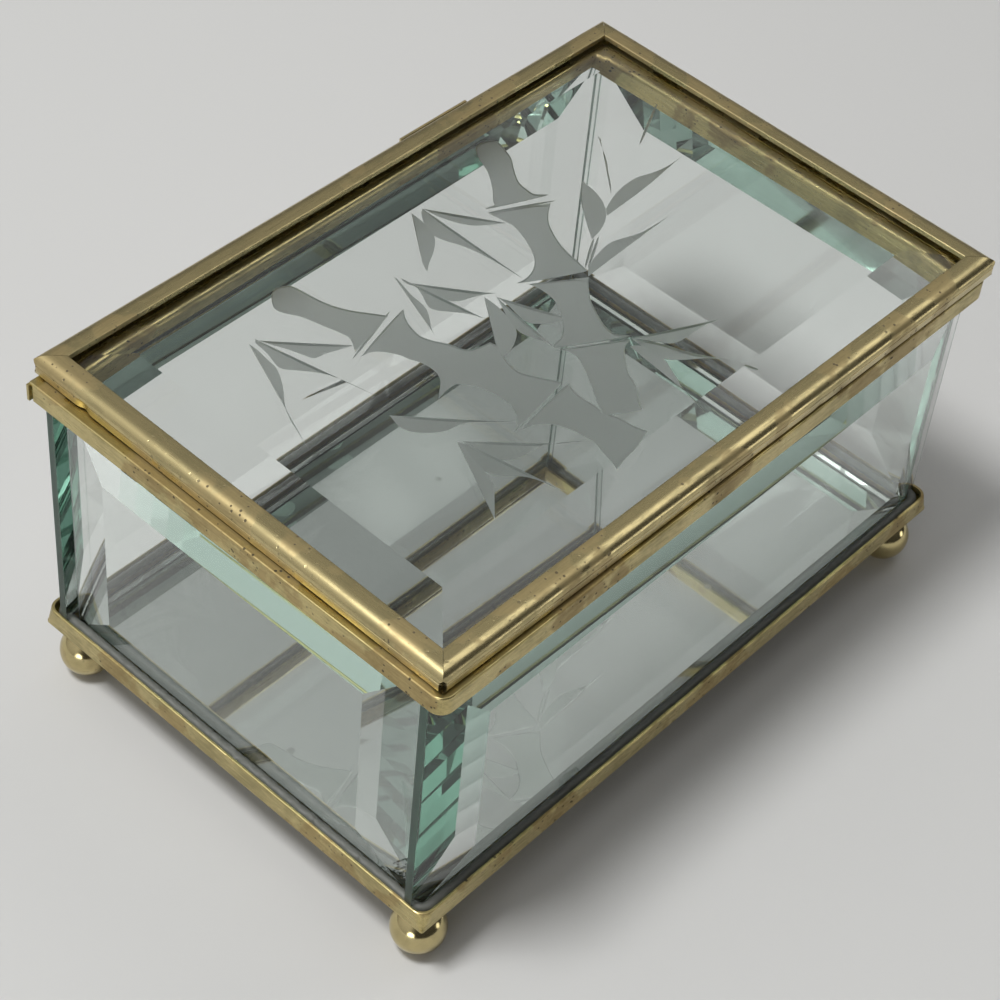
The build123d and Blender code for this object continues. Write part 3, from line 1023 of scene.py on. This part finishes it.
@dataclass
class CutLidPane:
    """Lid glass with ground bevels on its upper face and a bamboo ornament cut into it."""

    layout: Layout
    length: float = 146.8
    depth: float = 96.4
    shift: Point = (1.45, 1.35)
    bottom: float = 77.2
    thickness: float = 3.0
    edge: float = 1.4
    bevel: float = 10.4
    stalk_depth: float = 0.22
    stalk_wall: float = 0.22
    rings: list[list[Vector]] = field(default_factory=list)
    shapes: list[tuple[list[Vector], Callable[[Vector], float], bool]] = field(default_factory=list)
    spots: list[Vector] = field(default_factory=list)
    joins: list[tuple[int, int]] = field(default_factory=list)

    def plain_height(self, spot: Vector) -> float:
        """Height of the uncut upper face over the lower one."""
        inset = min(self.length / 2 - abs(spot.x - self.shift[0]), self.depth / 2 - abs(spot.y - self.shift[1]))
        return self.edge + (self.thickness - self.edge) * min(1.0, max(0.0, inset) / self.bevel)

    def add_line(self, line: Sequence[Vector], closed: bool = False) -> None:
        """Keep a line's edges in the triangulated upper face."""
        first = len(self.spots)
        self.spots += [Vector((p.x, p.y)) for p in line]
        count = len(line)
        pairs = [(first + i, first + i + 1) for i in range(count - 1)]
        self.joins += pairs + ([(first + count - 1, first)] if closed else [])

    def add_plate(self) -> None:
        """Outline of the pane, the bevels' inner edges and their mitres."""
        x, y = self.length / 2, self.depth / 2
        corners = [Vector(p) for p in ((-x, -y), (x, -y), (x, y), (-x, y))]
        inner = [Vector((p.x - math.copysign(self.bevel, p.x), p.y - math.copysign(self.bevel, p.y))) for p in corners]
        corners = [p + Vector(self.shift) for p in corners]
        inner = [p + Vector(self.shift) for p in inner]
        self.add_line(corners, closed=True)
        self.add_line(inner, closed=True)
        for outside, inside in zip(corners, inner):
            self.add_line([outside, inside])

    def add_stalks(self) -> None:
        """Flat-bottomed cuts of the stalks' lengths."""
        for outline in STALKS.values():
            ring = smooth_outline(outline)
            area = sum(a.x * b.y - b.x * a.y for a, b in zip(ring, [*ring[1:], ring[0]]))
            if area < 0:
                ring.reverse()
            floor = []
            for i, spot in enumerate(ring):
                run = (ring[(i + 1) % len(ring)] - ring[i - 1]).normalized()
                floor.append(spot + Vector((-run.y, run.x)) * self.stalk_wall)
            closed = [*ring, ring[0]]
            floor = [p for p in floor if is_inside(p, ring) and from_line(p, closed) > self.stalk_wall * 0.8]

            def cut(spot: Vector, line: list[Vector] = closed) -> float:
                """Depth of this stalk's cut at a spot inside it."""
                return self.stalk_depth * min(1.0, from_line(spot, line) / self.stalk_wall)

            self.add_line(ring, closed=True)
            self.add_line(floor, closed=True)
            self.shapes.append((ring, cut, True))

    def add_cut(self, cut: CutLeaf | CutSlit) -> None:
        """Groove of a leaf or a slit."""
        first, bottom, second, depths = cut.lines()
        for line in (first, bottom, second):
            self.add_line(line)
        ring = first + second[::-1][1:-1]
        frosted = not isinstance(cut, CutSlit) or cut.frosted

        def deep(spot: Vector) -> float:
            """Depth of the groove at a spot inside it."""
            near = min(range(len(bottom)), key=lambda i: (bottom[i] - spot).length_squared)
            low = depths[near]
            to_bottom = from_line(spot, bottom)
            to_edge = min(from_line(spot, first), from_line(spot, second))
            return low * to_edge / max(to_edge + to_bottom, 1e-6)

        self.shapes.append((ring, deep, frosted))

    def cut_at(self, spot: Vector) -> float:
        """Depth of the deepest cut at a spot."""
        return max((depth(spot) for ring, depth, _ in self.boxed(spot) if is_inside(spot, ring)), default=0.0)

    def boxed(self, spot: Vector) -> Iterable[tuple[list[Vector], Callable[[Vector], float], bool]]:
        """The shapes whose boxes hold a spot."""
        for shape, (low_x, high_x, low_y, high_y) in zip(self.shapes, self.rings):
            if low_x <= spot.x <= high_x and low_y <= spot.y <= high_y:
                yield shape

    def build(self, palette: Palette) -> None:
        """Make the pane.

        Args:
            palette: the finishes.
        """
        self.add_plate()
        self.add_stalks()
        for cut in (*LEAVES, *SLITS):
            self.add_cut(cut)
        for ring, _, _ in self.shapes:
            xs, ys = [p.x for p in ring], [p.y for p in ring]
            self.rings.append((min(xs), max(xs), min(ys), max(ys)))
        spots, _, faces, *_ = delaunay_2d_cdt(self.spots, self.joins, [], 1, 1e-4)
        work = bmesh.new()
        frost = work.faces.layers.float.new("frost")
        upper = [work.verts.new((p.x, p.y, self.plain_height(p) - self.cut_at(p))) for p in spots]
        for corners in faces:
            middle = sum((spots[i] for i in corners), Vector((0.0, 0.0))) / len(corners)
            face = work.faces.new([upper[i] for i in corners])
            face[frost] = float(any(is_inside(middle, ring) and matt for ring, _, matt in self.boxed(middle)))
        rim = [edge for edge in work.edges if edge.is_boundary]
        made = bmesh.ops.extrude_edge_only(work, edges=rim)["geom"]
        lower = [v for v in made if isinstance(v, bmesh.types.BMVert)]
        for vert in lower:
            vert.co.z = 0.0
        bmesh.ops.contextual_create(work, geom=[e for e in made if isinstance(e, bmesh.types.BMEdge)])
        mesh = bpy.data.meshes.new("lid_glass")
        work.to_mesh(mesh)
        work.free()
        piece = mesh_piece("lid_glass_cut", mesh, palette.lid_pane)
        place = self.layout.lid_place() @ Matrix.Translation((0.0, 0.0, self.bottom))
        put_in_place(piece, place, 1.0)
        fasten(piece, "lid", "lid_glass", "lid_pane")


# ---------------------------------------------------------------------------------------------------------------
# The case
# ---------------------------------------------------------------------------------------------------------------
@dataclass
class Mirror:
    """Silvered plate on the case's ledge: clear glass over a thin layer of silver."""

    silver: float = 0.06
    arris: float = 0.35

    def build(self, palette: Palette) -> None:
        """Make the glass and the silver.

        Args:
            palette: the finishes.
        """
        low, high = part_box("mirror_floor")
        split = low.z + self.silver * MM
        for name, bottom, top, finish in (
            ("mirror_plate", split + 0.01 * MM, high.z, palette.mirror_glass),
            ("mirror_silver", low.z, split, palette.silver),
        ):
            work = bmesh.new()
            bmesh.ops.create_cube(work, size=1.0)
            for vert in work.verts:
                vert.co = Vector(
                    (
                        low.x if vert.co.x < 0 else high.x,
                        low.y if vert.co.y < 0 else high.y,
                        bottom if vert.co.z < 0 else top,
                    )
                )
            if name == "mirror_plate":
                upper = [e for e in work.edges if all(v.co.z == top for v in e.verts)]
                bmesh.ops.bevel(work, geom=upper, offset=self.arris * MM, segments=2, affect="EDGES")
            mesh = bpy.data.meshes.new(name)
            work.to_mesh(mesh)
            work.free()
            piece = mesh_piece(name, mesh, finish)
            put_in_place(piece, Matrix.Identity(4), 20.0)
            fasten(piece, "case", "mirror", "mirror_floor")


@dataclass
class FootCollars:
    """Soft-soldered fillets between the balls, their necks and the ledge above."""

    ball: float = 5.4
    neck: float = 2.5
    start: float = 10.2
    ledge: float = 13.35
    spread: float = 3.4
    turns: int = 40

    def build(self, palette: Palette) -> None:
        """Make the four collars.

        Args:
            palette: the finishes.
        """
        for corner in ("front_left", "front_right", "back_left", "back_right"):
            low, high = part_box(f"foot_{corner}")
            centre = Vector(((low.x + high.x) / 2, (low.y + high.y) / 2, 0.0))
            work = bmesh.new()
            rings = []
            for step in range(9):
                share = step / 8
                height = self.start + (self.ledge - self.start) * share
                flare = self.neck + 0.1 + 0.5 * (1 - share) ** 3 + (self.spread - self.neck) * share**5
                ring = []
                for turn in range(self.turns):
                    angle = math.tau * turn / self.turns
                    wobble = 1 + 0.03 * math.sin(3 * angle + 1.3) + 0.02 * math.sin(7 * angle + share * 4)
                    radius = flare * wobble * MM
                    spot = centre + Vector((radius * math.cos(angle), radius * math.sin(angle), height * MM))
                    ring.append(work.verts.new(spot))
                rings.append(ring)
            for lower, upper in zip(rings, rings[1:]):
                for i in range(self.turns):
                    j = (i + 1) % self.turns
                    work.faces.new((lower[i], lower[j], upper[j], upper[i]))
            work.faces.new(rings[0])
            work.faces.new(rings[-1])
            mesh = bpy.data.meshes.new(f"collar_{corner}")
            work.to_mesh(mesh)
            work.free()
            piece = mesh_piece(f"foot_collar_{corner}", mesh, palette.solder)
            put_in_place(piece, Matrix.Identity(4), 50.0)
            fasten(piece, "case", "foot_brass")


@dataclass(frozen=True)
class Seal:
    """One dark bead that runs round the case, partly old putty and partly painted shade of the gap between pane and
    strip: half lengths of its path, height and radius.
    """

    name: str
    half_x: float
    half_y: float
    height: float
    radius: float
    corner: float = 0.6


@dataclass
class PuttyAndGapShadeSeals:
    """Grey and dark putty between the panes and the strips, their dark colour also painted shade of those gaps, and the
    flux grains in the front left corner.
    """

    layout: Layout
    seals: tuple[Seal, ...] = (
        Seal("base_outer", 74.12, 48.88, 15.0, 1.08, 2.2),
        Seal("base_inner", 70.55, 45.3, 14.4, 0.25),
        Seal("top_outer", 74.2, 48.95, 73.9, 1.1, 2.2),
    )
    spacing: float = 0.45
    corner_steps: int = 6

    def path(self, seal: Seal) -> list[Vector]:
        """Closed path of a bead, in millimetres."""
        points = []
        for quarter, (sx, sy) in enumerate(((-1, -1), (1, -1), (1, 1), (-1, 1))):
            centre = Vector((sx * (seal.half_x - seal.corner), sy * (seal.half_y - seal.corner), seal.height))
            for step in range(self.corner_steps + 1):
                angle = math.radians(180 + 90 * quarter + 90 * step / self.corner_steps)
                points.append(centre + Vector((math.cos(angle), math.sin(angle), 0.0)) * seal.corner)
        return points

    def recipe(self, finish: bpy.types.Material) -> Recipe:
        """Tree that lays a lumpy bead along a path."""
        tree = Recipe("putty_bead", {"Radius": 0.3, "Lumps": 0.3, "Spacing": 0.5, "Seed": 1.0})
        path = tree.geometry("GeometryNodeMeshToCurve", None, {0: tree.source.outputs["Geometry"]})
        path = tree.geometry(
            "GeometryNodeResampleCurve", {"mode": "LENGTH"}, {"Curve": path, "Length": tree.given("Spacing")}
        )
        ring = tree.geometry("GeometryNodeCurvePrimitiveCircle", None, {"Resolution": 9, "Radius": tree.given("Radius")})
        bead = tree.geometry("GeometryNodeCurveToMesh", None, {"Curve": path, "Profile Curve": ring})
        lump = tree.signal(
            "ShaderNodeTexNoise", 0, {"noise_dimensions": "4D"}, {"W": tree.given("Seed"), "Scale": 0.9, "Detail": 3.0}
        )
        amount = (lump - 0.5) * tree.given("Lumps")
        way = tree.geometry("GeometryNodeInputNormal")
        push = tree.geometry("ShaderNodeVectorMath", {"operation": "SCALE"}, {0: way, "Scale": amount})
        tree.end(tree.geometry("GeometryNodeSetPosition", None, {"Geometry": bead, "Offset": push}), finish)
        return tree

    def grain_recipe(self, finish: bpy.types.Material) -> Recipe:
        """Tree that strews small crooked grains over a patch."""
        tree = Recipe("flux_grains", {"Density": 6.0, "Grain": 0.16, "Seed": 4})
        points = tree.geometry(
            "GeometryNodeDistributePointsOnFaces",
            None,
            {"Mesh": tree.source.outputs["Geometry"], "Density": tree.given("Density"), "Seed": tree.given("Seed")},
        )
        grain = tree.geometry("GeometryNodeMeshIcoSphere", None, {"Radius": tree.given("Grain"), "Subdivisions": 1})
        turn = tree.geometry(
            "FunctionNodeRandomValue", {"data_type": "FLOAT_VECTOR"}, {"Min": (0, 0, 0), "Max": (6.3, 6.3, 6.3)}
        )
        size = tree.geometry(
            "FunctionNodeRandomValue", {"data_type": "FLOAT_VECTOR"}, {"Min": (0.3, 0.4, 0.3), "Max": (1.4, 1.6, 0.9)}
        )
        strewn = tree.geometry(
            "GeometryNodeInstanceOnPoints",
            None,
            {"Points": points, "Instance": grain, "Rotation": turn, "Scale": size},
        )
        tree.end(strewn, finish)
        return tree

    def build(self, palette: Palette) -> None:
        """Make the beads and the grains.

        Args:
            palette: the finishes.
        """
        for number, seal in enumerate(self.seals):
            # Dark beads at the gaps: part putty and flux residue, part painted shade of the gap between pane and strip.
            tree = self.recipe(palette.putty_and_gap_shade if seal.name == "base_outer" else palette.flux_and_gap_shade)
            points = self.path(seal)
            mesh = bpy.data.meshes.new(seal.name)
            mesh.from_pydata(points, [(i, (i + 1) % len(points)) for i in range(len(points))], [])
            values = {"Radius": seal.radius, "Lumps": seal.radius * 0.9, "Spacing": self.spacing, "Seed": 2.0 + number}
            piece = tree.run(f"putty_{seal.name}", mesh, values)
            put_in_place(piece, self.layout.case_place(), 60.0)
            fasten(piece, "case", "case_brass")
        x, y, z = -70.4, -45.15, 14.5
        patch = bpy.data.meshes.new("flux_patch")
        spots = [(x, y, z), (x + 11.0, y, z), (x + 3.4, y + 2.4, z), (x + 1.6, y + 8.5, z), (x, y + 9.5, z)]
        patch.from_pydata(spots, [], [(0, 1, 2, 3, 4)])
        piece = self.grain_recipe(palette.flux_and_gap_shade).run("flux_grains", patch, {"Density": 5.0, "Grain": 0.2})
        put_in_place(piece, self.layout.case_place(), 60.0)
        fasten(piece, "case", "case_brass")


class Dressing:
    """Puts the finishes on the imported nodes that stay."""

    slots: dict[str, str] = {"foot": "ball", "hinge": "hinge"}

    def build(self, palette: Palette) -> None:
        """Dress every node that is still shown.

        Args:
            palette: the finishes.
        """
        for name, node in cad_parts.items():
            if node.hide_render:
                continue
            side = name.rsplit("_", 1)[-1]
            kind = name.split("_")[0]
            if kind == "pane":
                finish = palette.long_pane if side in ("front", "back") else palette.short_pane
            else:
                finish = palette.rim[side] if "rim" in name else getattr(palette, self.slots[kind])
            node.data.materials.clear()
            node.data.materials.append(finish)
            log.info("%s: %s", name, finish.name)


# ---------------------------------------------------------------------------------------------------------------
# The studio
# ---------------------------------------------------------------------------------------------------------------
@dataclass
class Studio:
    """Pale floor, soft light from the back left, and the camera as in the photograph."""

    floor_size: float = 4.0
    azimuth: float = -51.639
    elevation: float = 46.267
    roll: float = 6.147
    distance: float = 490.696
    target: tuple[float, float, float] = (-13.422, -8.354, 46.3)
    focal_pixels: float = 2605.218
    sensor: float = 36.0
    lamp_spot: tuple[float, float, float] = (-0.5, 0.19, 1.41)
    lamp_size: float = 0.32
    lamp_power: float = 15.0
    bounces: int = 40
    clear_bounces: int = 36

    def build_floor(self, palette: Palette) -> None:
        """Make the floor."""
        half = self.floor_size / 2
        mesh = bpy.data.meshes.new("floor")
        mesh.from_pydata([(-half, -half, 0), (half, -half, 0), (half, half, 0), (-half, half, 0)], [], [(0, 1, 2, 3)])
        mesh_piece("floor", mesh, palette.floor)

    def build_camera(self, layout: Layout) -> None:
        """Make the camera from the angles that were read off the photograph."""
        az, el, roll = (math.radians(a) for a in (self.azimuth, self.elevation, self.roll))
        back = Vector((math.sin(az) * math.cos(el), -math.cos(az) * math.cos(el), math.sin(el)))
        right = Vector((math.cos(az), math.sin(az), 0.0))
        up = back.cross(right)
        right, up = right * math.cos(roll) + up * math.sin(roll), up * math.cos(roll) - right * math.sin(roll)
        spot = layout.middle() + (Vector(self.target) + back * self.distance) * MM
        data = bpy.data.cameras.new("camera")
        data.sensor_width = self.sensor
        data.lens = self.focal_pixels / 1000 * self.sensor
        data.clip_start = 0.01
        camera = bpy.data.objects.new("camera", data)
        bpy.context.scene.collection.objects.link(camera)
        camera.matrix_world = Matrix.Translation(spot) @ Matrix((right, up, back)).transposed().to_4x4()
        bpy.context.scene.camera = camera

    def build_lamp(self, name: str, spot: Sequence[float], size: float, power: float) -> None:
        """Square lamp that looks at the box."""
        data = bpy.data.lights.new(name, "AREA")
        data.size, data.energy = size, power
        lamp = bpy.data.objects.new(name, data)
        lamp.location = spot
        lamp.rotation_euler = (Vector((0, 0, 0.04)) - Vector(spot)).to_track_quat("-Z", "Y").to_euler()
        bpy.context.scene.collection.objects.link(lamp)

    def build_world(self) -> None:
        """Soft room light: paler overhead and at the window side, darker low down and behind the camera."""
        world = bpy.data.worlds.new("room")
        bpy.context.scene.world = world
        kit = Shading(world)
        way = kit.add("ShaderNodeTexCoord").outputs["Generated"]
        height = kit.signal("ShaderNodeSeparateXYZ", "Z", None, {0: way})
        depth = kit.signal("ShaderNodeSeparateXYZ", "Y", None, {0: way})

        def towards(x: float, y: float, z: float, low: float, high: float) -> Signal:
            """Patch round a direction: 0 where the cosine of the angle from it is low, 1 where it is high."""
            aim = tuple(Vector((x, y, z)).normalized())
            cosine = kit.signal("ShaderNodeVectorMath", "Value", {"operation": "DOT_PRODUCT"}, {0: way, 1: aim})
            return cosine.between(low, high)

        mottle = kit.noise(Signal(kit, way), 6.0, 4.0, 0.6)
        ceiling = height.between(0.0, 0.95) * 0.21
        gloom = depth.between(0.02, -0.42)
        glow = towards(-0.70, 0.45, 0.55, 0.5, 0.95)
        cove = towards(0.54, -0.05, 0.84, 0.95, 0.985)
        window = towards(-0.96, -0.26, 0.08, 0.968, 0.985)
        door = towards(0.585, -0.797, 0.156, 0.985, 0.996)
        shades = towards(0.524, 0.458, 0.718, 0.9993, 1.0) * mottle * 0.4
        shades = shades + towards(0.498, 0.462, 0.734, 0.9995, 1.0) * mottle * 0.24
        level = 0.17 + ceiling + (mottle - 0.5) * 0.12
        level = level * (1.0 - gloom * 0.72) + glow * 0.34 + cove * 1.3 + window * 5.0 + door * 2.2 + shades
        colour = (1.0, 0.995, 0.98, 1.0)
        light = kit.add("ShaderNodeBackground", None, {"Color": colour, "Strength": level})
        kit.add("ShaderNodeOutputWorld", None, {"Surface": light.outputs[0]})

    def build(self, palette: Palette, layout: Layout) -> None:
        """Make the whole studio.

        Args:
            palette: the finishes.
            layout: place of the case.
        """
        self.build_floor(palette)
        self.build_camera(layout)
        self.build_world()
        self.build_lamp("ceiling_lamp", self.lamp_spot, self.lamp_size, self.lamp_power)
        scene = bpy.context.scene
        scene.view_settings.view_transform = "Standard"
        scene.cycles.max_bounces = self.bounces
        scene.cycles.transmission_bounces = self.clear_bounces
        scene.cycles.glossy_bounces = self.clear_bounces


def main() -> None:
    """Build every part in order."""
    logging.basicConfig(level=logging.INFO, format="%(name)s: %(message)s")
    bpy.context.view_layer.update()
    layout = Layout()
    palette = Palette(layout.middle())
    Studio().build(palette, layout)
    LidRails(layout).build(palette)
    CutLidPane(layout).build(palette)
    Mirror().build(palette)
    FootCollars().build(palette)
    PuttyAndGapShadeSeals(layout).build(palette)
    Dressing().build(palette)


if __name__ == "__main__":
    main()
